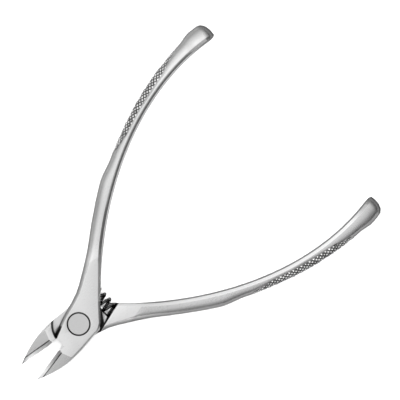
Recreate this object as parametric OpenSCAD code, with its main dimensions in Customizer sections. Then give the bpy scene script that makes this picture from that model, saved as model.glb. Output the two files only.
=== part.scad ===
// Cuticle nipper with a lap joint: two forged halves, a riveted pivot pin and a coil return spring.
// The origin lies on the pivot axis at the underside. X runs along the bisector towards the handles
// and Z along the pivot. A half is drawn with the jaws closed, then turned to its opening at rest.

/* [Joint] */
// Thickness across the joint, ground flat on both sides
joint_thickness = 7; // [6:0.1:8.5]
// Angle between the two blades at rest
blade_opening = 17.3; // [12:0.1:20]
// Radius of each lap plate's round end about the pivot
lap_end_radius = 7.3; // [7:0.05:7.8]
// Gap between that round end and the other half's jaw
lap_end_gap = 0.3; // [0.15:0.05:0.5]
// Gap between the two lap faces
lap_face_gap = 0.06; // [0.04:0.01:0.12]
// Gap that is left at the stop flats when the blades meet
stop_gap = 0.3; // [0.15:0.05:0.6]
// Direction of the stop shoulder's normal, jaws closed
stop_angle = 67.7; // [64:0.1:70]
// Length of the flat that meets the stop shoulder
stop_flat = 2; // [1.5:0.1:2.5]
// Where the handle's inner edge meets that flat, measured along the jaws' closing line
notch_along = 4; // [3.6:0.1:4.6]
// Where the handle's inner edge meets that flat, measured away from the closing line
notch_aside = 4.75; // [4.5:0.05:5.2]
// Width of the forging across the joint, square to the handle's inner edge
head_across = 11.7; // [11.2:0.1:12.2]
// Plan width of the chamfer round the head and the jaws
head_chamfer = 0.7; // [0.4:0.1:0.9]

/* [Jaws] */
// Length of the jaws from the pivot to their points
jaw_length = 19.3; // [18:0.1:21]
// Direction of the jaw's outer edge where it leaves the head
jaw_back_angle = 172.8; // [170:0.2:176]
// Direction of the jaw's outer edge at its point
jaw_point_angle = 149.8; // [146:0.2:154]
// Reach of the head's straight stretch into the jaw's outer edge
jaw_back_pull = 7.4; // [6:0.1:9]
// Reach of the point's straight stretch into the jaw's outer edge
jaw_point_pull = 11.6; // [9:0.1:13]
// Blunt width of a jaw at its point
point_width = 0.15; // [0.1:0.05:0.3]
// Distance from the pivot to the start of the ground facet
facet_start = 8.85; // [8.6:0.05:9.6]
// Slope of the ground facet towards the point
facet_slope = 16.2; // [13:0.1:17]
// Slant of the facet's first line across the jaw
facet_slant = 13; // [5:1:18]
// Plan width of the cutting bevel
bevel_width = 1.2; // [0.8:0.1:1.5]
// Thickness of the cutting edge itself
edge_land = 0.08; // [0.04:0.01:0.2]
// Gap left between the closed cutting edges
blade_gap = 0.04; // [0.02:0.01:0.1]
// Depth of the relief behind the cutting edge at the throat
throat_relief = 0.46; // [0.2:0.02:0.7]
// Distance from the pivot at which the relief runs out
relief_end = 9.8; // [9:0.1:11]

/* [Handles] */
// Distance of the inner edge's end from the pivot along the closing line, jaws closed
handle_reach = 85.5; // [75:0.1:100]
// Distance of the inner edge's end from the closing line, jaws closed
handle_spread = 17.7; // [14:0.1:22]
// Direction of the inner edge where it leaves the joint
handle_root_angle = 40.8; // [39:0.1:42]
// Direction of the inner edge at its end
handle_end_angle = -19.6; // [-24:0.1:-12]
// Reach of the root's direction into the inner edge
handle_root_pull = 33.1; // [30:0.1:40]
// Reach of the end's direction into the inner edge
handle_end_pull = 26.1; // [22:0.1:32]
// Distance of the root along the inner edge from the notch
root_at = 10; // [9:0.1:11]
// Width at the root
root_width = 6.1; // [5.8:0.1:6.8]
// Distance of the neck from the notch
neck_at = 22; // [20:0.1:24]
// Width at the neck
neck_width = 4.2; // [3.9:0.05:4.8]
// Thickness at the neck
neck_thickness = 5.8; // [5.3:0.1:6.2]
// Distance of the waist from the notch
waist_at = 29; // [27:0.1:32]
// Width at the waist
waist_width = 4.15; // [3.9:0.05:4.6]
// Thickness of the handle along its length
handle_thickness = 4.8; // [4.4:0.1:5.4]
// Distance of the grip's front bump from the notch
bump_at = 37.8; // [36:0.1:40]
// Width at the bump
bump_width = 4.3; // [4:0.05:4.8]
// Distance of the scooped grip's start from the notch
grip_at = 44.8; // [43:0.1:47]
// Width where the scooped grip starts
grip_width = 3.55; // [3.4:0.05:4]
// Distance of the grip's far end from the handle's end
grip_end_back = 9.4; // [8.5:0.1:11]
// Width at the grip's far end
grip_end_width = 4.45; // [4.2:0.05:4.9]
// Distance of the end bulb's widest place from the handle's end
bulb_back = 4.9; // [4:0.1:6]
// Width of the end bulb
bulb_width = 5.35; // [5:0.05:6]
// Thickness of the end bulb
bulb_thickness = 6; // [5:0.1:6.8]
// Length over which the handle's end is rounded off
end_round = 2.5; // [2:0.1:3.4]
// Plan width of the round on the handle's outer side
outer_round = 2.5; // [1.8:0.05:2.8]
// Plan width of the round on the end bulb's outer side
bulb_round = 3.6; // [2.5:0.05:4]
// Plan width of the chamfer along the handle's inner edge
inner_chamfer = 0.8; // [0.6:0.05:1]
// Depth of the chamfers, measured down from the face
chamfer_drop = 0.55; // [0.4:0.05:0.8]
// Height of the bow on the handle's inner side, between its chamfers
inner_bow = 0.4; // [0.2:0.05:0.6]
// Height of the forging's crown that is ground off the joint
ground_off = 0.7; // [0.4:0.05:0.9]

/* [Pivot] */
// Radius of the pin
pin_radius = 2; // [1.6:0.05:2.3]
// Running clearance of the pin in the front half, on the radius
pin_clearance = 0.03; // [0.02:0.01:0.08]
// Radius of the pin's flush head
pin_head_radius = 3; // [2.7:0.05:3.4]
// Thickness of the pin's head
pin_head_height = 1.5; // [1.1:0.05:1.9]
// Ring gap round the pin's head
pin_head_gap = 0.3; // [0.2:0.05:0.4]
// Gap under the pin's head
pin_seat_gap = 0.05; // [0.03:0.01:0.1]
// Radius of the riveted tail
pin_tail_radius = 2.6; // [2.4:0.05:3]
// Depth of the riveted tail's countersink
pin_tail_depth = 0.8; // [0.5:0.05:1.2]
// Chamfer on the rim of the pin's head
pin_rim = 0.15; // [0.1:0.05:0.3]

/* [Spring] */
// Distance of the spring's axis from the pivot
spring_along = 9.15; // [8.9:0.05:9.5]
// Outer diameter of the coil
spring_diameter = 4.2; // [3.8:0.05:4.5]
// Diameter of the wire
wire_diameter = 0.8; // [0.6:0.02:0.9]
// Pitch of the coil at rest
spring_pitch = 1.95; // [1.6:0.05:2.4]
// Radial clearance of the coil in its sockets
socket_clearance = 0.2; // [0.15:0.05:0.3]
// Distance from the middle of the spring to the floor of each socket
socket_floor = 6.2; // [5.6:0.05:6.4]
// Gap between a wire end and the socket's floor
socket_end_gap = 0.1; // [0.05:0.05:0.3]
// Turn of the coil about its axis
spring_turn = 190; // [0:5:355]

/* [Hidden] */
$fn = 96;

half_thickness = joint_thickness / 2;
rest_turn = blade_opening / 2;
shoulder_radius = lap_end_radius + lap_end_gap;
// Larger than any piece, for cuts that run right through
far = 2 * (handle_reach + jaw_length);

// Value i steps on the way between two others
function between(from, to, i, count) = from + (to - from) * i / count;

// Point at a distance in a plan direction
function along(angle, distance) = distance * [cos(angle), sin(angle)];

// Point and slope on a cubic curve with four control points
function curve(p, t) =
    pow(1 - t, 3) * p[0] + 3 * pow(1 - t, 2) * t * p[1] + 3 * (1 - t) * t * t * p[2] + pow(t, 3) * p[3];
function curve_slope(p, t) =
    pow(1 - t, 2) * (p[1] - p[0]) + 2 * (1 - t) * t * (p[2] - p[1]) + t * t * (p[3] - p[2]);

// Value on a smooth line through rows of [place, value] that never swings past a row
function row_rise(rows, i) = (rows[i + 1][1] - rows[i][1]) / (rows[i + 1][0] - rows[i][0]);
function row_slope(rows, i) =
    i == 0 ? row_rise(rows, 0)
    : i == len(rows) - 1 ? row_rise(rows, i - 1)
    : let (before = row_rise(rows, i - 1), after = row_rise(rows, i))
      before * after <= 0 ? 0 : 2 * before * after / (before + after);
function smooth_at(place, rows, i = 0) =
    i < len(rows) - 2 && place > rows[i + 1][0] ? smooth_at(place, rows, i + 1)
    : let (
        gap = rows[i + 1][0] - rows[i][0],
        u = min(1, max(0, (place - rows[i][0]) / gap)),
        start = rows[i][1] * (1 + 2 * u) * pow(1 - u, 2),
        finish = rows[i + 1][1] * u * u * (3 - 2 * u),
        start_slope = row_slope(rows, i) * gap * u * pow(1 - u, 2),
        finish_slope = row_slope(rows, i + 1) * gap * u * u * (u - 1)
      )
      start + finish + start_slope + finish_slope;

// Inner edge of the handle, from the notch beside the pivot to the handle's end
notch = [notch_along, -notch_aside];
handle_end = [handle_reach, handle_spread];
inner_edge = [
    notch,
    notch + along(handle_root_angle, handle_root_pull),
    handle_end - along(handle_end_angle, handle_end_pull),
    handle_end
];
edge_steps = 160;
edge_points = [for (i = [0 : edge_steps]) curve(inner_edge, i / edge_steps)];
edge_run = [
    for (i = 0, run = 0;
         i <= edge_steps;
         run = run + norm(edge_points[min(i + 1, edge_steps)] - edge_points[i]), i = i + 1)
        [run, i / edge_steps]
];
handle_length = edge_run[edge_steps][0];

// Width, half thickness, inner chamfer, bow of the inner side and outer round along the handle
width_rows = [
    [0, head_across],
    [root_at, root_width],
    [neck_at, neck_width],
    [waist_at, waist_width],
    [bump_at, bump_width],
    [grip_at, grip_width],
    [handle_length - grip_end_back, grip_end_width],
    [handle_length - bulb_back, bulb_width],
    [handle_length, bulb_width]
];
blank_half = half_thickness + ground_off;
half_rows = [
    [0, blank_half],
    [root_at, blank_half],
    [neck_at, neck_thickness / 2],
    [waist_at, handle_thickness / 2],
    [handle_length - grip_end_back, handle_thickness / 2],
    [handle_length - bulb_back, bulb_thickness / 2],
    [handle_length, bulb_thickness / 2]
];
chamfer_rows = [
    [0, head_chamfer],
    [root_at, head_chamfer],
    [neck_at, inner_chamfer],
    [handle_length, inner_chamfer]
];
bow_rows = [
    [0, 0],
    [root_at, 0],
    [neck_at, inner_bow],
    [handle_length, inner_bow]
];
round_rows = [
    [0, outer_round],
    [handle_length - grip_end_back, outer_round],
    [handle_length - bulb_back, bulb_round],
    [handle_length, bulb_round]
];

// One ring of the forging between its inner edge a and outer edge b: a bow between chamfers on the
// inner side, a half round on the outer side. At the handle's end a ring shrinks by the factor size
// about a place nearer to its inner edge.
round_steps = 14;
round_share = 0.95;
shrink_place = 0.15;
bow_steps = 6;
bow_turn = 45;
function ring(a, b, half, chamfer, bow, outer, size = 1) =
    let (
        width = norm(b - a),
        across = (b - a) / width,
        low = min(half, half_thickness) - chamfer_drop,
        run = min(bow + chamfer * (half - low) / chamfer_drop, round_share * width),
        round = min(outer, round_share * (width - run)),
        still = shrink_place * width,
        side = [
            for (i = [0 : bow_steps])
                let (turn = between(-bow_turn, bow_turn, i, bow_steps))
                [bow * (1 - cos(turn)) / (1 - cos(bow_turn)), low * sin(turn) / sin(bow_turn)],
            [run, half],
            for (i = [0 : round_steps])
                [width - round + round * sin(180 * i / round_steps), half * cos(180 * i / round_steps)],
            [run, -half]
        ]
    )
    [for (p = side)
        let (plan = a + across * (still + size * (p[0] - still)))
        [plan[0], plan[1], size * p[1]]];

// Rings of the handle, closer together where the width changes quickly
function handle_ring(run) =
    let (
        t = lookup(run, edge_run),
        a = curve(inner_edge, t),
        slope = curve_slope(inner_edge, t),
        across = [-slope[1], slope[0]] / norm(slope),
        rounding = max(0, 1 - (handle_length - run) / end_round),
        size = sqrt(1 - rounding * rounding)
    )
    ring(a, a + across * smooth_at(run, width_rows), smooth_at(run, half_rows),
         smooth_at(run, chamfer_rows), smooth_at(run, bow_rows), smooth_at(run, round_rows), size);
bulb_start = handle_length - grip_end_back;
end_start = handle_length - end_round;
root_rings = 19;
bump_rings = 10;
grip_rings = 17;
bulb_rings = 9;
end_rings = 8;
last_turn = 84;
handle_rings = [
    for (i = [0 : root_rings - 1]) handle_ring(between(0, bump_at, i, root_rings)),
    for (i = [0 : bump_rings - 1]) handle_ring(between(bump_at, grip_at, i, bump_rings)),
    for (i = [0 : grip_rings - 1]) handle_ring(between(grip_at, bulb_start, i, grip_rings)),
    for (i = [0 : bulb_rings]) handle_ring(between(bulb_start, end_start, i, bulb_rings)),
    for (i = [1 : end_rings]) handle_ring(end_start + end_round * sin(last_turn * i / end_rings))
];

// Rings of the head and the jaw, from the jaw's point to the notch. The side towards the other jaw
// is left proud by an allowance, and is ground back to the cutting face later.
stop_end = [notch[0] - stop_flat * sin(stop_angle), notch[1] - stop_flat * cos(stop_angle)];
jaw_point = [-jaw_length, -blade_gap / 2 - point_width];
jaw_outer = [
    stop_end,
    stop_end + along(jaw_back_angle, jaw_back_pull),
    jaw_point - along(jaw_point_angle, jaw_point_pull),
    jaw_point
];
grind_allowance = outer_round / 2;
head_far = notch + along(handle_root_angle + 90, head_across);
head_side_angle = 188;
head_side_share = 0.7;
straight_share = 0.6;
stop_share = 0.06;
jaw_inner = [
    head_far,
    head_far + along(head_side_angle, head_side_share * lap_end_radius),
    [-straight_share * jaw_length, grind_allowance],
    [-jaw_length, grind_allowance]
];
jaw_steps = 12;
jaw_rings = [
    for (i = [jaw_steps : -1 : 0])
        let (t = i / jaw_steps)
        ring(curve(jaw_outer, t), curve(jaw_inner, t == 0 ? stop_share : t),
             blank_half, head_chamfer, 0, outer_round)
];

// Solid skinned over rings of equal length, with flat ends
module skin(rings) {
    count = len(rings[0]);
    points = [for (r = rings) for (p = r) p];
    function at(r, i) = r * count + i % count;
    polyhedron(points, concat(
        [[for (i = [count - 1 : -1 : 0]) i]],
        [for (r = [0 : len(rings) - 2]) for (i = [0 : count - 1])
            [at(r, i), at(r, i + 1), at(r + 1, i + 1)]],
        [for (r = [0 : len(rings) - 2]) for (i = [0 : count - 1])
            [at(r, i), at(r + 1, i + 1), at(r + 1, i)]],
        [[for (i = [0 : count - 1]) at(len(rings) - 1, i)]]
    ));
}

module half_blank() {
    intersection() {
        skin(concat(jaw_rings, handle_rings));
        translate([-far / 2, -far / 2, -half_thickness]) cube([far, far, joint_thickness]);
    }
}

// Room under a lap plate for the other half's plate: round towards the jaw, and straight along the
// stop shoulder towards the handle
stop_normal = [cos(stop_angle), sin(stop_angle)];
stop_reach = stop_normal * [notch_along, notch_aside] + stop_gap;
module lap_pocket() {
    translate([0, 0, -far])
        linear_extrude(far + lap_face_gap / 2)
            intersection() {
                union() {
                    circle(r = shoulder_radius);
                    translate([0, -far / 2]) square([far, far]);
                }
                rotate(stop_angle) translate([-far, -far / 2]) square([far + stop_reach, far]);
            }
}

// Cutting face, throat relief and the lap plate's round end, cut straight through
module jaw_face_cut() {
    throat = asin(throat_relief / lap_end_radius);
    translate([0, 0, -far / 2])
        linear_extrude(far)
            difference() {
                polygon([
                    [-far, -blade_gap / 2],
                    [-relief_end, -blade_gap / 2],
                    [-lap_end_radius * cos(throat), -throat_relief],
                    [0, 0],
                    [0, far],
                    [-far, far]
                ]);
                circle(r = lap_end_radius);
            }
}

// Height of the ground facet above the middle plane
facet_middle = (notch_aside + blade_gap) / 2;
function facet_height(x, y) =
    half_thickness + tan(facet_slope)
        * ((x + facet_start) * cos(facet_slant) + (y + facet_middle) * sin(facet_slant));
module facet_cut() {
    translate([-facet_start, -facet_middle, half_thickness])
        rotate([0, 0, facet_slant])
            rotate([0, -facet_slope, 0])
                translate([-far, -far / 2, 0]) cube([far, far, far]);
}

// Cutting bevel between the edge and a line on the facet, at one width all along the blade, so it
// grows steeper towards the throat, where it runs out upwards
bevel_steps = 8;
bevel_margin = bevel_width / 4;
bevel_start = facet_start + bevel_margin;
function bevel_ring(x, lift) =
    let (
        edge_y = -blade_gap / 2,
        low = edge_land / 2,
        rise = (facet_height(x, edge_y - bevel_width) - low) / bevel_width
    )
    [
        [x, edge_y + bevel_margin, low - bevel_margin * rise + lift],
        [x, edge_y - bevel_width - bevel_margin, low + (bevel_width + bevel_margin) * rise + lift],
        [x, edge_y - bevel_width - bevel_margin, far],
        [x, edge_y + bevel_margin, far]
    ];
module bevel_cut() {
    blade = jaw_length - bevel_start + bevel_margin;
    skin([
        for (i = [bevel_steps : -1 : 0]) bevel_ring(-bevel_start - blade * i / bevel_steps, 0),
        bevel_ring(-bevel_start + bevel_width, joint_thickness)
    ]);
}

// Blind socket for one end of the spring, drilled on the spring's axis at rest
module spring_socket() {
    rotate(-rest_turn)
        translate([spring_along, socket_floor, 0])
            rotate([90, 0, 0])
                cylinder(r = spring_diameter / 2 + socket_clearance, h = 2 * socket_floor);
}

// One half with everything that both share, jaws closed, its lap plate on top
module ground_half() {
    difference() {
        half_blank();
        lap_pocket();
        jaw_face_cut();
        for (side = [0, 1]) {
            mirror([0, 0, side]) facet_cut();
            mirror([0, 0, side]) bevel_cut();
        }
        spring_socket();
    }
}

module front_half() {
    head_seat = half_thickness - pin_head_height - pin_seat_gap;
    color("silver")
        translate([0, 0, half_thickness])
            rotate(rest_turn)
                difference() {
                    ground_half();
                    cylinder(r = pin_radius + pin_clearance, h = joint_thickness);
                    translate([0, 0, head_seat])
                        cylinder(r = pin_head_radius + pin_head_gap, h = joint_thickness);
                }
}

module rear_half() {
    color("silver")
        translate([0, 0, half_thickness])
            rotate(-rest_turn)
                difference() {
                    rotate([180, 0, 0]) ground_half();
                    translate([0, 0, -joint_thickness]) cylinder(r = pin_radius, h = joint_thickness);
                    translate([0, 0, -half_thickness])
                        cylinder(r1 = pin_tail_radius, r2 = pin_radius, h = pin_tail_depth);
                }
}

module pivot_pin() {
    head_base = joint_thickness - pin_head_height;
    color("darkgray")
        rotate_extrude()
            polygon([
                [0, 0],
                [pin_tail_radius, 0],
                [pin_radius, pin_tail_depth],
                [pin_radius, head_base],
                [pin_head_radius, head_base],
                [pin_head_radius, joint_thickness - pin_rim],
                [pin_head_radius - pin_rim, joint_thickness],
                [0, joint_thickness]
            ]);
}

// Path of the spring's wire on the coil's cylinder, unrolled to [distance round, distance along]:
// a helix whose ends bend to run straight along the axis onto the socket floors
coil_radius = (spring_diameter - wire_diameter) / 2;
coil_rise = atan(spring_pitch / (360 * coil_radius * PI / 180));
rings_per_turn = 8;
bend_ratio = 1.2;
bend_radius = bend_ratio * wire_diameter;
bend_steps = 4;
spring_half = socket_floor - socket_end_gap;
helix_half = spring_half - wire_diameter - bend_radius * cos(coil_rise);
helix_round = helix_half / tan(coil_rise);
helix_steps = round(helix_half / spring_pitch * rings_per_turn);
upper_wire = [
    for (i = [1 : helix_steps]) [helix_round, helix_half] * i / helix_steps,
    for (i = [1 : bend_steps])
        let (heading = coil_rise + (90 - coil_rise) * i / bend_steps)
        [helix_round, helix_half]
            + bend_radius * [sin(heading) - sin(coil_rise), cos(coil_rise) - cos(heading)],
    [helix_round + bend_radius * (1 - sin(coil_rise)), spring_half]
];
wire_path = concat([for (i = [len(upper_wire) - 1 : -1 : 0]) -upper_wire[i]], [[0, 0]], upper_wire);

// Outward direction from the coil's axis, and the wire's centre line, at each point of the path
wire_out = [
    for (p = wire_path)
        let (turn = spring_turn + p[0] / coil_radius * 180 / PI)
        [cos(turn), 0, sin(turn)]
];
wire_line = [for (i = [0 : len(wire_path) - 1]) coil_radius * wire_out[i] + [0, wire_path[i][1], 0]];
wire_last = len(wire_line) - 1;
least_gap = min([
    for (i = [0 : wire_last])
        for (j = [i + rings_per_turn - 2 : 1 : wire_last]) norm(wire_line[i] - wire_line[j])
]) - wire_diameter;
echo(least_gap_between_turns = least_gap);

module return_spring() {
    sides = 6;
    color("dimgray")
        translate([spring_along, 0, half_thickness])
            skin([
                for (i = [0 : wire_last])
                    let (
                        ahead = wire_line[min(i + 1, wire_last)] - wire_line[max(i - 1, 0)],
                        aside = cross(ahead, wire_out[i]) / norm(cross(ahead, wire_out[i]))
                    )
                    [for (k = [0 : sides - 1])
                        wire_line[i] + wire_diameter / 2
                            * (cos(360 * k / sides) * wire_out[i] + sin(360 * k / sides) * aside)]
            ]);
}

front_half();
rear_half();
pivot_pin();
return_spring();
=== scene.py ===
from math import atan, atan2, cos, pi, radians, sin
from random import Random

import bpy
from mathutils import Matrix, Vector


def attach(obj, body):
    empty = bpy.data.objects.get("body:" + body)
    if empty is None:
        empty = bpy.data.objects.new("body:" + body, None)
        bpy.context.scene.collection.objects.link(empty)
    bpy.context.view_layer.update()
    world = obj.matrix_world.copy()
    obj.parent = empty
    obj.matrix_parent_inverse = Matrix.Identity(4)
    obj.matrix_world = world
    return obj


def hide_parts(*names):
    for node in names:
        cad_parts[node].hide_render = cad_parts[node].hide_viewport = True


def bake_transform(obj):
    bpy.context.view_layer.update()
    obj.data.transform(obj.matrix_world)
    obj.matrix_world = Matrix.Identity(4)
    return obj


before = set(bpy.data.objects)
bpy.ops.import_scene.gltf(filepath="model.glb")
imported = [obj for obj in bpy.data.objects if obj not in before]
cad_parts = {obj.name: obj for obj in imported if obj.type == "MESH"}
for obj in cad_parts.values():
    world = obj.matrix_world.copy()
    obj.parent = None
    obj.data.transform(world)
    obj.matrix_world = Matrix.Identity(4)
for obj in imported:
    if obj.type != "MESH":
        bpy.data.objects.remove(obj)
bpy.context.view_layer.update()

# Rear half: the lower of the two levers, a stainless steel forging. The joint and the jaw are ground
# flat, the blade is honed, and the rest is tumbled to a satin. It carries the pin and the spring.
# Its materials paint shade on steep sides, in the joint, pocket and pin seat, and highlights and shade on
# the chamfers and handle roots.
MM = 0.001
JOINT_THICKNESS = 7 * MM
MIDDLE = JOINT_THICKNESS / 2
REST_TURN = radians(8.65)
JAW_ROOT = -8.4 * MM
BEVEL_WIDTH = 1.2 * MM
BEVEL_LINE_START = 0.88 * MM
JOINT_REACH = 9.2 * MM
POCKET_START, POCKET_END, POCKET_HALF = 5.5 * MM, 12 * MM, 6.4 * MM
NECK = 26 * MM
BULB, BULB_END, HANDLE_END = 72 * MM, 79.5 * MM, 81 * MM
LAP_RADIUS = 7.6 * MM
HEAD_SEAT = 5.45 * MM
EDGE_RADIUS = 0.07 * MM
CREASE = radians(26)


class Socket:
    """An output in a node tree. Arithmetic on it adds Math nodes."""

    def __init__(self, tree, output):
        self.tree = tree
        self.output = output

    def node(self, kind, settings, values, output=0):
        made = self.tree.nodes.new(kind)
        for name, value in settings.items():
            setattr(made, name, value)
        for name, value in values.items():
            if isinstance(value, Socket):
                self.tree.links.new(value.output, made.inputs[name])
            else:
                made.inputs[name].default_value = value
        return Socket(self.tree, made.outputs[output])

    def math(self, operation, first, second=0.0):
        return self.node("ShaderNodeMath", {"operation": operation}, {0: first, 1: second})

    def __add__(self, other):
        return self.math("ADD", self, other)

    def __radd__(self, other):
        return self.math("ADD", other, self)

    def __sub__(self, other):
        return self.math("SUBTRACT", self, other)

    def __rsub__(self, other):
        return self.math("SUBTRACT", other, self)

    def __mul__(self, other):
        return self.math("MULTIPLY", self, other)

    def __rmul__(self, other):
        return self.math("MULTIPLY", other, self)

    def __pow__(self, other):
        return self.math("POWER", self, other)


CLOUDS_PER_METRE = 260
MARK_DETAIL, CLOUD_DETAIL = 3, 2
NOISE_MEAN = 0.5
CLOUD_SHARE = 0.5
ROUGH_SHARE = 2
MARK_STRENGTH = 0.35
EDGE_TINT = (0.35, 0.35, 0.35, 1)


def metal(name, grey, roughness, grain, cut, mottle, shade=None):
    """Steel with marks. grain turns a place into the place in the marks' noise, cut is the marks'
    depth and mottle the contrast of tone and roughness. shade turns a place into a share of the tone,
    which paints light and shade."""
    material = bpy.data.materials.new(name)
    material.use_nodes = True
    tree = material.node_tree
    shader = tree.nodes["Principled BSDF"]
    shader.inputs["Metallic"].default_value = 1
    shader.inputs["Specular Tint"].default_value = EDGE_TINT
    place = Socket(tree, tree.nodes.new("ShaderNodeTexCoord").outputs["Object"])
    marks = place.node(
        "ShaderNodeTexNoise", {}, {"Vector": grain(place), "Scale": 1, "Detail": MARK_DETAIL}
    )
    clouds = place.node(
        "ShaderNodeTexNoise",
        {},
        {"Vector": place, "Scale": CLOUDS_PER_METRE, "Detail": CLOUD_DETAIL},
    )
    uneven = mottle * (marks - NOISE_MEAN) + CLOUD_SHARE * mottle * (clouds - NOISE_MEAN)
    tone = grey * (1 + uneven)
    if shade:
        tone = tone * shade(place)
    rough = roughness * (1 + ROUGH_SHARE * uneven)
    colour = place.node("ShaderNodeCombineColor", {}, {"Red": tone, "Green": tone, "Blue": tone})
    relief = place.node(
        "ShaderNodeBump", {}, {"Strength": MARK_STRENGTH, "Distance": cut, "Height": marks}
    )
    tree.links.new(colour.output, shader.inputs["Base Color"])
    tree.links.new(rough.output, shader.inputs["Roughness"])
    tree.links.new(relief.output, shader.inputs["Normal"])
    return material


def strokes(turn, along, across):
    """Straight grinding marks: counts per metre along and across lines turned about Z."""
    return lambda place: place.node(
        "ShaderNodeMapping",
        {},
        {"Vector": place, "Rotation": (0, 0, turn), "Scale": (along, across, along)},
    )


def step(value, start, end, first, last):
    """Smooth change from first to last while value goes from start to end."""
    return value.node(
        "ShaderNodeMapRange",
        {"interpolation_type": "SMOOTHSTEP"},
        {"Value": value, "From Min": start, "From Max": end, "To Min": first, "To Max": last},
    )


def axis(vector, name):
    """One of the three parts of a vector, by its name."""
    return vector.node("ShaderNodeSeparateXYZ", {}, {"Vector": vector}, name)


# Painted light where the ground flat ends at the handle roots: a highlight streak, shade past it, and a
# lighter rear flat.
FLAT_TURN = radians(80.2)
FLAT_START, FLAT_FULL, FLAT_ASIDE = 5 * MM, 8 * MM, -2 * MM
FRONT_FLAT_END, REAR_FLAT_END, FLAT_BLUR = 12.26 * MM, 11.1 * MM, 0.12 * MM
DULL_ROOT, ROOT_FADE, ROOT_END = 16.5 * MM, 22 * MM, 30 * MM
PAINTED_FLAT_LIGHT, PAINTED_STREAK_TONE, PAINTED_ROOT_SHADE, PAINTED_REAR_SHADE = 1.10, 1.10, 0.92, 0.90


def flat_end_painted_light(place):
    """Share of the tone at the handle roots. The flat that is ground on the joint ends there at a
    slanted line. On the front handle a painted highlight runs along that line, with painted shade for a
    way past it. On the rear handle the flat is painted lighter, and the handle past it darker."""
    forward, aside = axis(place, "X"), axis(place, "Y")
    past_front = cos(FLAT_TURN) * forward + sin(FLAT_TURN) * aside
    past_rear = cos(FLAT_TURN) * forward - sin(FLAT_TURN) * aside
    painted_streak = step(past_front, FRONT_FLAT_END - FLAT_BLUR, FRONT_FLAT_END + FLAT_BLUR, 1, PAINTED_STREAK_TONE)
    fade = step(past_front, FRONT_FLAT_END, DULL_ROOT, 1, PAINTED_ROOT_SHADE / PAINTED_STREAK_TONE)
    rise = step(past_front, ROOT_FADE, ROOT_END, 1, 1 / PAINTED_ROOT_SHADE)
    flat = step(past_rear, REAR_FLAT_END - FLAT_BLUR, REAR_FLAT_END + FLAT_BLUR, PAINTED_FLAT_LIGHT, PAINTED_REAR_SHADE)
    on_rear = step(forward, FLAT_START, FLAT_FULL, 0, 1) * step(aside, FLAT_ASIDE, 0, 1, 0)
    return painted_streak * fade * rise * (1 + on_rear * (flat - 1))


# Painted shade on the forging's steep sides, strongest on the handles' sides and end caps.
HEAD_LEAN, HANDLE_LEAN, FULL_LEAN = 0.5, 0.05, 0.9
SIDE_PAINTED_SHADE, CAP_PAINTED_SHADE = 0.28, 0.13


def steep_side_painted_shade(place):
    """Share of the tone on the forging: painted shade, darker with the lean of the surface, for the
    dark reflections of steep sides. It reaches most of the head, and least of the handles' end caps."""
    forward = axis(place, "X")
    upward = axis(place.node("ShaderNodeNewGeometry", {}, {}, "Normal"), "Z")
    lean = (1 - upward * upward) ** 0.5
    shade_start = step(forward, POCKET_END, NECK, HEAD_LEAN, HANDLE_LEAN)
    least = step(forward, BULB_END, HANDLE_END, SIDE_PAINTED_SHADE, CAP_PAINTED_SHADE)
    return step(lean, shade_start, FULL_LEAN, 1, least) * flat_end_painted_light(place)


def run_out(last):
    """Share of the tone along a chamfer or an inner side, which changes to last along the bulb."""
    return lambda place: step(axis(place, "X"), BULB, BULB_END, 1, last)


# Painted highlights on the dark chamfer, which leave a thin dark line.
HANDLE_HALF = 2.4 * MM
LINE_LEVEL, LINE_BLUR = HANDLE_HALF - 0.18 * MM, 0.03 * MM
LINE_ROOT, LINE_START, LINE_FULL, LINE_FADE = 14 * MM, 20 * MM, 30 * MM, 66 * MM
LINE_ROOT_HIGHLIGHT, LINE_FACE_HIGHLIGHT, LINE_BULB_HIGHLIGHT = 2.4, 2.6, 1.6
LINE_BULB_SHARE = 0.4


def chamfer_line_painted_light(place):
    """Share of the tone on the dark chamfer, with painted highlights: bright at the handle's root, and
    along the handle bright next to the face, so that only a thin line stays dark. It brightens along the
    bulb."""
    forward = axis(place, "X")
    height = place.math("ABSOLUTE", axis(place, "Z") - MIDDLE)
    root = step(forward, LINE_ROOT, LINE_START, LINE_ROOT_HIGHLIGHT, 1)
    on_handle = step(forward, NECK, LINE_FULL, 0, 1) * step(forward, LINE_FADE, BULB, 1, LINE_BULB_SHARE)
    at_face = step(height, LINE_LEVEL - LINE_BLUR, LINE_LEVEL + LINE_BLUR, 0, 1)
    return root * (1 + (LINE_FACE_HIGHLIGHT - 1) * on_handle * at_face) * run_out(LINE_BULB_HIGHLIGHT)(place)


# Painted shade on the lap faces, nearly black, with a painted dark line along the handle root.
PAINTED_SHADE_TONE = 0.06
SHADE_RIM_START, SHADE_RIM_FULL = LAP_RADIUS - 0.7 * MM, LAP_RADIUS - 0.3 * MM
SHADE_SIDE_START, SHADE_SIDE_FULL = 1 * MM, 2.5 * MM
UNSHADED_TURN = radians(-32.7)
UNSHADED_START, UNSHADED_FULL = 6.7 * MM, 7.0 * MM
ROOT_STEP_TURN = radians(112)
ROOT_STEP_START, ROOT_STEP_FULL = -6.4 * MM, -6.1 * MM


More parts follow.
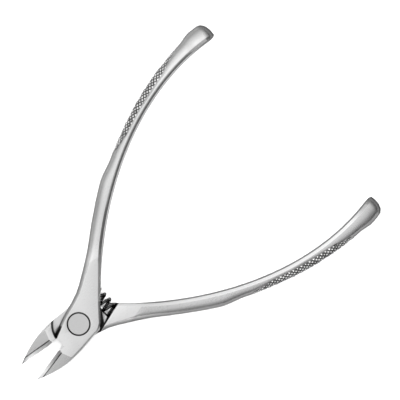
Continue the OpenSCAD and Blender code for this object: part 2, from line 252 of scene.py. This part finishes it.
def lap_painted_shade(place):
    """Share of the tone on a lap face: painted shade at its round end and on the handle's side. What
    shows of the face past the other half's plate is unshaded, up to a painted dark line along the handle
    root."""
    forward, aside = axis(place, "X"), axis(place, "Y")
    radius = (forward * forward + aside * aside) ** 0.5
    rim = step(radius, SHADE_RIM_START, SHADE_RIM_FULL, 1, PAINTED_SHADE_TONE)
    lap_shade = rim * step(forward, SHADE_SIDE_START, SHADE_SIDE_FULL, 1, PAINTED_SHADE_TONE)
    past_plate = cos(UNSHADED_TURN) * forward + sin(UNSHADED_TURN) * aside
    off_root = cos(ROOT_STEP_TURN) * forward + sin(ROOT_STEP_TURN) * aside
    unshaded = step(past_plate, UNSHADED_START, UNSHADED_FULL, 0, 1)
    unshaded = unshaded * step(off_root, ROOT_STEP_START, ROOT_STEP_FULL, 0, 1)
    return place.math("MAXIMUM", lap_shade, unshaded)


PEEN_MARKS = 5200
# Shares of the painted chamfer highlight and of the painted side light that stay at the bulb.
HIGHLIGHT_BULB_SHARE, SIDE_LIGHT_BULB_SHARE = 0.53, 0.45
peened = strokes(0, PEEN_MARKS, PEEN_MARKS)
joint_strokes = strokes(radians(20), along=700, across=9000)
jaw_strokes = strokes(radians(70), along=600, across=8000)
edge_strokes = strokes(radians(90), along=900, across=12000)
# The satin steel carries painted shade on steep sides and painted light at the handle roots.
satin = metal(
    "satin_steel", grey=0.77, roughness=0.28, grain=peened, cut=0.004 * MM, mottle=0.10, shade=steep_side_painted_shade
)
# The ground steel carries the painted light at the handle roots.
ground = metal(
    "ground_steel", grey=0.77, roughness=0.28, grain=joint_strokes, cut=0.003 * MM, mottle=0.08,
    shade=flat_end_painted_light,
)
# Dark copy of the chamfer steel: painted shade on the inner chamfer of the face side.
chamfer_painted_shade = metal(
    "painted_shade_chamfer", grey=0.37, roughness=0.26, grain=peened, cut=0.003 * MM, mottle=0.12,
    shade=chamfer_line_painted_light,
)
# Bright copy of the chamfer steel: a painted highlight on the inner chamfer of the lap side.
chamfer_painted_highlight = metal(
    "painted_highlight_chamfer", grey=0.99, roughness=0.20, grain=peened, cut=0.001 * MM, mottle=0.02,
    shade=run_out(HIGHLIGHT_BULB_SHARE),
)
# The lap face carries painted shade.
lap = metal(
    "lap_face", grey=0.77, roughness=0.28, grain=joint_strokes, cut=0.003 * MM, mottle=0.08,
    shade=lap_painted_shade,
)
facet = metal(
    "ground_facet", grey=0.52, roughness=0.28, grain=jaw_strokes, cut=0.003 * MM, mottle=0.10
)
honed = metal(
    "honed_edge", grey=0.62, roughness=0.32, grain=edge_strokes, cut=0.001 * MM, mottle=0.05
)
# A painted dark line along the blade's bevel, for the dark reflection of a hollow grind.
bevel_painted_dark_line = metal(
    "painted_dark_bevel_line", grey=0.13, roughness=0.25, grain=edge_strokes, cut=0.002 * MM, mottle=0.10
)
# Nearly black steel laid where the joint, the spring pocket and the pin's seat lie in shade: painted
# shade.
joint_painted_shade = metal(
    "painted_shade_joint", grey=0.06, roughness=0.35, grain=peened, cut=0.002 * MM, mottle=0.20
)
# Copy of the satin with its own flat tone in place of the satin's painted shade: painted light on the
# inner side's half towards the face.
side_painted_light = metal(
    "painted_light_side", grey=0.42, roughness=0.24, grain=peened, cut=0.002 * MM, mottle=0.08,
    shade=run_out(SIDE_LIGHT_BULB_SHARE),
)
worn = metal(
    "worn_edge", grey=0.86, roughness=0.18, grain=peened, cut=0.001 * MM, mottle=0.05
)
FINISHES = (satin, ground, chamfer_painted_shade, chamfer_painted_highlight, lap, facet, honed, bevel_painted_dark_line, joint_painted_shade, side_painted_light, worn)


def only(piece):
    """Makes piece the one object that operators act on."""
    bpy.ops.object.select_all(action="DESELECT")
    piece.select_set(True)
    bpy.context.view_layer.objects.active = piece


def apply(piece, kind, **settings):
    """Adds a modifier with these settings and applies it."""
    modifier = piece.modifiers.new(kind.lower(), kind)
    for name, value in settings.items():
        setattr(modifier, name, value)
    only(piece)
    bpy.ops.object.modifier_apply(modifier=modifier.name)


def open_with(piece, kind, test):
    """Opens piece in edit mode with only those of its points or faces selected that pass the test."""
    only(piece)
    bpy.ops.object.mode_set(mode="EDIT")
    bpy.ops.mesh.select_mode(type=kind)
    bpy.ops.mesh.select_all(action="DESELECT")
    bpy.ops.object.mode_set(mode="OBJECT")
    for part in piece.data.vertices if kind == "VERT" else piece.data.polygons:
        part.select = test(part)
    bpy.ops.object.mode_set(mode="EDIT")


LEVEL, FACET_LEVEL, CHAMFER_LEVEL, WALL_LEVEL = 0.999, 0.93, 0.6, 0.05
FACING = 0.1
HEIGHT_ROOM = 0.25 * MM
WELD_ROOM = 0.002 * MM
FLAT_ANGLE = radians(0.4)
EDGE_SEGMENTS = 2


def finish_of(face, into_jaw, lap_side):
    """Finish of a face of a half, several of which paint highlights and shade; into_jaw points from the
    cutting edge into the jaw, and lap_side is 1 where the half's lap face looks up and -1 where it looks
    down."""
    place, normal = face.center, face.normal
    level = abs(normal.z)
    outward = normal.y if place.y > 0 else -normal.y
    from_pivot = Vector((place.x, place.y, 0))
    in_pocket = POCKET_START < place.x < POCKET_END and abs(place.y) < POCKET_HALF and outward < FACING
    in_joint = from_pivot.length < JOINT_REACH and normal.dot(from_pivot.normalized()) < -FACING
    # Walls in the spring pocket and round the joint get painted shade.
    if level < CHAMFER_LEVEL and (in_pocket or in_joint):
        return joint_painted_shade
    if face.material_index == FINISHES.index(worn):
        return worn
    if level > LEVEL:
        if abs(place.z - MIDDLE) < HEIGHT_ROOM:
            return lap
        # The seat under the pin's head gets painted shade.
        return joint_painted_shade if abs(place.z - HEAD_SEAT) < HEIGHT_ROOM else ground
    if place.x < JAW_ROOT:
        if level > FACET_LEVEL:
            return facet
        if level > WALL_LEVEL and normal.dot(into_jaw) < -FACING:
            # A strip of the bevel next to the facet gets the painted dark line.
            return bevel_painted_dark_line if place.dot(into_jaw) > BEVEL_LINE_START else honed
    elif place.x < BULB_END and outward < 0:
        # On the inner side, the chamfer gets a painted highlight on the lap side and painted shade on the
        # other, and the side's half towards the face gets painted light.
        if level > CHAMFER_LEVEL:
            return chamfer_painted_highlight if lap_side * normal.z > 0 else chamfer_painted_shade
        if place.x > POCKET_END and lap_side * normal.z < 0:
            return side_painted_light
    return satin


def dressed_half(node, name, handle_side):
    """Copy of a forged half with its edges broken and each face in its own finish, some with painted
    light.
    handle_side is 1 where the handle lies towards +Y, and -1 where it lies towards -Y."""
    piece = bpy.data.objects.new(name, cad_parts[node].data.copy())
    bpy.context.scene.collection.objects.link(piece)
    piece.data.materials.clear()
    for finish in FINISHES:
        piece.data.materials.append(finish)
    into_jaw = Vector((sin(REST_TURN), -handle_side * cos(REST_TURN), 0))
    only(piece)
    bpy.ops.object.mode_set(mode="EDIT")
    bpy.ops.mesh.select_all(action="SELECT")
    bpy.ops.mesh.remove_doubles(threshold=WELD_ROOM)
    bpy.ops.mesh.dissolve_limited(angle_limit=FLAT_ANGLE)
    bpy.ops.object.mode_set(mode="OBJECT")
    apply(
        piece,
        "BEVEL",
        width=EDGE_RADIUS,
        segments=EDGE_SEGMENTS,
        limit_method="ANGLE",
        angle_limit=CREASE,
        loop_slide=False,
        material=FINISHES.index(worn),
    )
    open_with(
        piece,
        "FACE",
        lambda face: face.center.x < JAW_ROOT
        and 0 < face.center.dot(into_jaw) < BEVEL_WIDTH
        and face.normal.dot(into_jaw) < -FACING,
    )
    bpy.ops.mesh.bisect(plane_co=BEVEL_LINE_START * into_jaw, plane_no=into_jaw)
    bpy.ops.object.mode_set(mode="OBJECT")
    for face in piece.data.polygons:
        face.material_index = FINISHES.index(finish_of(face, into_jaw, -handle_side))
    only(piece)
    bpy.ops.object.shade_smooth_by_angle(angle=CREASE)
    return piece


rear = dressed_half("rear_half", "rear_half_steel", -1)
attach(rear, "rear")
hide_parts("rear_half")

# Rear grip: the diamond knurl that is rolled into the round outer side of the handle, so that it
# doesn't slip in the hand. It is of the same steel as the half, and runs out at both ends.
GRIP_CENTRE = Vector((76.16, -47.33)) * MM
GRIP_ARC_RADIUS = 80.93 * MM
GRIP_START = radians(116.4)
GRIP_END = radians(93.0)
GRIP_ROUND = 2.23 * MM
GRIP_COLUMNS = 52
GRIP_ROWS = 12
GRIP_CREST = 0.10 * MM
GRIP_GROOVE = 0.20 * MM
GRIP_SINK = 0.35 * MM
SINK_ALONG = 0.06
SINK_SWING = radians(12.5)
GRIP_TAPER = 0.25
GRIP_LEAST = 0.02
# Painted shade in the knurl's grooves and along its border.
KNURL_SHADE_TONE = 0.12
KNURL_SHADE_START, KNURL_SHADE_END = 0.2, 0.5
GRIP_WEAR = 0.5
WHITE_TINT = (1, 1, 1, 1)


def knurl_painted_shade(place):
    """Share of the tone on a knurl, from the attribute that is least in its grooves and on its border:
    painted shade there.
    """
    unshaded = place.node("ShaderNodeAttribute", {"attribute_name": "unshaded"}, {}, "Fac")
    return step(unshaded, KNURL_SHADE_START, KNURL_SHADE_END, KNURL_SHADE_TONE, 1)


knurled = metal(
    "knurled_steel", grey=0.98, roughness=0.22, grain=peened, cut=0.003 * MM, mottle=0.12,
    shade=knurl_painted_shade,
)
knurled.node_tree.nodes["Principled BSDF"].inputs["Specular Tint"].default_value = WHITE_TINT


def grip_width(along):
    """Share of the round side that the knurl covers at a share of its length."""
    return max(GRIP_LEAST, min(1, along / GRIP_TAPER, (1 - along) / GRIP_TAPER)) ** 0.5


def knurl(half, node, name, handle_side):
    """Strip of diamond points on the outer side of a handle, with the handle sunk under it."""
    bpy.ops.object.select_all(action="DESELECT")
    bpy.ops.mesh.primitive_grid_add(x_subdivisions=GRIP_COLUMNS, y_subdivisions=GRIP_ROWS, size=1)
    piece = bpy.context.object
    piece.name = name
    wear = Random(name)
    lift = []
    crests = set()
    for point in piece.data.vertices:
        along = point.co.x + 0.5
        column = round(along * GRIP_COLUMNS)
        row = round((point.co.y + 0.5) * GRIP_ROWS)
        on_border = column in (0, GRIP_COLUMNS) or row in (0, GRIP_ROWS)
        crest = (column + row) % 2 == 0
        if crest:
            crests.add(point.index)
        lift.append(0 if on_border else GRIP_CREST if crest else -GRIP_GROOVE)
        turn = GRIP_START + (GRIP_END - GRIP_START) * along
        swing = pi * point.co.y * grip_width(along)
        reach = GRIP_ARC_RADIUS + GRIP_ROUND * cos(swing)
        point.co.x = GRIP_CENTRE.x + reach * cos(turn)
        point.co.y = handle_side * (GRIP_CENTRE.y + reach * sin(turn))
        point.co.z = MIDDLE + HANDLE_HALF * sin(swing)
    apply(
        piece,
        "SHRINKWRAP",
        target=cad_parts[node],
        wrap_method="NEAREST_SURFACEPOINT",
        wrap_mode="ON_SURFACE",
    )
    for odd, split in ((False, "FIXED"), (True, "FIXED_ALTERNATE")):
        open_with(
            piece,
            "FACE",
            lambda face: len(face.vertices) == 4 and (face.vertices[0] in crests) == odd,
        )
        bpy.ops.mesh.quads_convert_to_tris(quad_method=split)
        bpy.ops.object.mode_set(mode="OBJECT")
    open_with(piece, "FACE", lambda face: True)
    bpy.ops.mesh.normals_make_consistent(inside=False)
    bpy.ops.object.mode_set(mode="OBJECT")
    outward = [Vector(point.normal) for point in piece.data.vertices]
    # The attribute is 0 in the grooves and along the border, where the knurl's material paints shade, and
    # high on the crests, lowered at random by wear.
    unshaded = piece.data.attributes.new("unshaded", "FLOAT", "POINT")
    for point in piece.data.vertices:
        point.co += lift[point.index] * outward[point.index]
        share = 1 if lift[point.index] > 0 else 0
        unshaded.data[point.index].value = share * (1 - GRIP_WEAR * wear.random())
    piece.data.materials.append(knurled)
    skin = [Vector(point.normal) for point in half.data.vertices]
    for point in half.data.vertices:
        from_centre = Vector((point.co.x, handle_side * point.co.y)) - GRIP_CENTRE
        turn = atan2(from_centre.y, from_centre.x)
        along = (turn - GRIP_START) / (GRIP_END - GRIP_START)
        height = abs(point.co.z - MIDDLE) / HANDLE_HALF
        swing = atan2(height, (from_centre.length - GRIP_ARC_RADIUS) / GRIP_ROUND)
        inside = SINK_ALONG < along < 1 - SINK_ALONG
        if inside and swing < grip_width(along) * pi / 2 - SINK_SWING:
            point.co -= GRIP_SINK * skin[point.index]
    return piece


rear_grip = knurl(rear, "rear_half", "rear_grip_knurl", -1)
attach(rear_grip, "rear")

# Pivot pin: a turned steel pin, riveted in the rear half, whose flush head is faced on the lathe, so
# its marks run in rings round the axis.
RINGS_PER_METRE = 9000


def lathe_rings(place):
    """Place in the noise of marks that run round the pivot's axis."""
    radius = place.node("ShaderNodeVectorMath", {"operation": "LENGTH"}, {0: place}, "Value")
    return place.node("ShaderNodeCombineXYZ", {}, {"X": RINGS_PER_METRE * radius})


turned = metal(
    "turned_steel", grey=0.64, roughness=0.27, grain=lathe_rings, cut=0.002 * MM, mottle=0.07
)
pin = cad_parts["pivot_pin"]
pin.data.materials.clear()
pin.data.materials.append(turned)

# Front half: the same stainless forging turned over, with its lap plate on top. It is ground, honed and
# tumbled in the same way, with the same painted highlights and shade, and it turns on the pin.
front = dressed_half("front_half", "front_half_steel", 1)
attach(front, "front")
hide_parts("front_half")

# Front grip: the same diamond knurl, rolled into the round outer side of the front handle. It is of
# the same steel as the half, which is sunk under it.
front_grip = knurl(front, "front_half", "front_grip_knurl", 1)
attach(front_grip, "front")

# Return spring: hard drawn steel wire wound into a coil, loose in two blind sockets, so that it
# pushes the handles apart. Its ends are bent along the coil's axis onto the socket floors.
SPRING_ALONG = 9.15 * MM
COIL_RADIUS = 1.7 * MM
WIRE_RADIUS = 0.4 * MM
SPRING_PITCH = 1.95 * MM
SPRING_HALF = 6.1 * MM
BEND_RADIUS = 0.96 * MM
SPRING_TURN = radians(190)
SPRING_RINGS = 150
WIRE_SIDES = 14
BEND_STEPS = 6
END_ROOM = 0.01 * MM
WIRE_CREASE = radians(40)
coil_rise = atan(SPRING_PITCH / (2 * pi * COIL_RADIUS))
helix_half = SPRING_HALF - 2 * WIRE_RADIUS - BEND_RADIUS * cos(coil_rise)
coil_turn = 2 * pi * 2 * helix_half / SPRING_PITCH
wire = metal(
    "spring_wire", grey=0.09, roughness=0.12, grain=peened, cut=0.002 * MM, mottle=0.15
)
bpy.ops.object.select_all(action="DESELECT")
bpy.ops.mesh.primitive_circle_add(
    vertices=WIRE_SIDES,
    radius=WIRE_RADIUS,
    location=(COIL_RADIUS, -helix_half, 0),
    rotation=(-coil_rise, 0, 0),
)
spring = bpy.context.object
spring.name = "return_spring_wire"
bpy.ops.object.transform_apply()
apply(
    spring,
    "SCREW",
    axis="Y",
    angle=-coil_turn,
    screw_offset=2 * helix_half,
    steps=SPRING_RINGS,
    render_steps=SPRING_RINGS,
)
for end, turn in ((-1, 0), (1, coil_turn)):
    outward = Vector((cos(turn), 0, sin(turn)))
    round_coil = Vector((-sin(turn), 0, cos(turn)))
    heading = cos(coil_rise) * round_coil + Vector((0, sin(coil_rise), 0))
    aside = Vector((0, cos(coil_rise), 0)) - sin(coil_rise) * round_coil
    wire_end = COIL_RADIUS * outward + Vector((0, end * helix_half, 0))
    open_with(
        spring,
        "VERT",
        lambda point: (point.co - wire_end).length < 2 * WIRE_RADIUS
        and abs((point.co - wire_end).dot(heading)) < END_ROOM,
    )
    bpy.ops.mesh.spin(
        steps=BEND_STEPS,
        angle=pi / 2 - coil_rise,
        center=wire_end + end * BEND_RADIUS * aside,
        axis=-outward,
    )
    bpy.ops.mesh.extrude_region_move(
        TRANSFORM_OT_translate={"value": (0, end * 2 * WIRE_RADIUS, 0)}
    )
    bpy.ops.mesh.edge_face_add()
    bpy.ops.mesh.select_all(action="SELECT")
    bpy.ops.mesh.normals_make_consistent(inside=False)
    bpy.ops.object.mode_set(mode="OBJECT")
spring.rotation_euler.y = coil_turn / 2 - SPRING_TURN
spring.location = (SPRING_ALONG, 0, MIDDLE)
bpy.ops.object.transform_apply()
# The bends' faces are made in an order that changes from run to run, so they are sorted by distance.
open_with(spring, "FACE", lambda face: True)
bpy.ops.mesh.sort_elements(type="CURSOR_DISTANCE", elements={"VERT", "EDGE", "FACE"})
bpy.ops.object.mode_set(mode="OBJECT")
bpy.ops.object.shade_smooth_by_angle(angle=WIRE_CREASE)
spring.data.materials.append(wire)
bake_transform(spring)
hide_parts("return_spring")

# Floor: a sheet of plain white card, matt so that it mirrors nothing. It lies a hair under the
# nipper, which rests on its ground joint.
FLOOR_SIZE = 3
FLOOR_GAP = 0.02 * MM
CARD_WHITE = (0.8, 0.8, 0.8, 1)
CARD_ROUGHNESS = 0.9
card = bpy.data.materials.new("white_card")
card.use_nodes = True
card_shader = card.node_tree.nodes["Principled BSDF"]
card_shader.inputs["Base Color"].default_value = CARD_WHITE
card_shader.inputs["Roughness"].default_value = CARD_ROUGHNESS
card_shader.inputs["Specular IOR Level"].default_value = 0
bpy.ops.object.select_all(action="DESELECT")
bpy.ops.mesh.primitive_plane_add(size=FLOOR_SIZE, location=(0, 0, -FLOOR_GAP))
bpy.ops.object.transform_apply()
floor = bpy.context.object
floor.name = "floor"
floor.data.materials.append(card)

# Light: a tent of white cloth, brightest overhead and towards one side. Three lamps that the steel
# doesn't mirror light the card: from straight above, over the handles, and from one side at the head.
# A small fourth one glows on the end of the front handle.
TENT_HORIZON, TENT_RISE, TENT_SIDE = 0.52, 0.38, 0.42
TENT_BRIGHT = (-0.6, 0.8, 0)
tent = bpy.data.worlds.new("tent")
tent.use_nodes = True
bpy.context.scene.world = tent
sky = Socket(tent.node_tree, tent.node_tree.nodes.new("ShaderNodeTexCoord").outputs["Generated"])
aside = sky.node(
    "ShaderNodeVectorMath", {"operation": "DOT_PRODUCT"}, {0: sky, 1: TENT_BRIGHT}, "Value"
)
height = sky.math("MAXIMUM", axis(sky, "Z"), 0.0)
glow = TENT_HORIZON + TENT_RISE * height + TENT_SIDE * aside
tent.node_tree.links.new(glow.output, tent.node_tree.nodes["Background"].inputs["Color"])


def lamp(kind, name, energy, location, **settings):
    """Adds a lamp, which points straight down until it is turned."""
    bpy.ops.object.light_add(type=kind, location=location)
    made = bpy.context.object
    made.name = name
    made.data.energy = energy
    for setting, value in settings.items():
        setattr(made.data, setting, value)
    return made


HEAD = Vector((-8, -2, 0)) * MM
HEAD_LAMP_FROM = Vector((-0.16, 0.56, 0.82))
HEAD_LAMP_AWAY = 200 * MM
HANDLES = Vector((55, 0, 90)) * MM
FRONT_END = Vector((72, 34, 100)) * MM
overhead_lamp = lamp("SUN", "overhead_lamp", energy=3.2, location=(0, 0, 1), angle=radians(14))
handle_lamp = lamp(
    "AREA", "handle_lamp", energy=0.06, location=HANDLES, shape="DISK", size=90 * MM
)
head_lamp = lamp(
    "SPOT",
    "head_lamp",
    energy=0.7,
    location=HEAD + HEAD_LAMP_AWAY * HEAD_LAMP_FROM,
    spot_size=radians(24),
    spot_blend=1,
    shadow_soft_size=8 * MM,
)
head_lamp.rotation_euler = HEAD_LAMP_FROM.to_track_quat("Z", "Y").to_euler()
for unseen in (overhead_lamp, handle_lamp, head_lamp):
    unseen.visible_glossy = False
end_lamp = lamp(
    "AREA", "end_lamp", energy=0.003, location=FRONT_END, shape="DISK", size=60 * MM
)
end_lamp.visible_camera = False

# Camera: straight above the nipper and far away, with a long lens, so that hardly any of the sides
# show. It is turned so that the handles open towards the upper right.
VIEW_WIDTH = 110 * MM
VIEW_CENTRE = Vector((47.57, 1.19)) * MM
VIEW_TURN = radians(-44.2)
LENS = 400
SENSOR = 36
bpy.ops.object.camera_add(
    location=(VIEW_CENTRE.x, VIEW_CENTRE.y, MIDDLE + VIEW_WIDTH * LENS / SENSOR),
    rotation=(0, 0, VIEW_TURN),
)
camera = bpy.context.object
camera.data.lens = LENS
camera.data.sensor_width = SENSOR
bpy.context.scene.camera = camera
bpy.context.scene.view_settings.view_transform = "Standard"
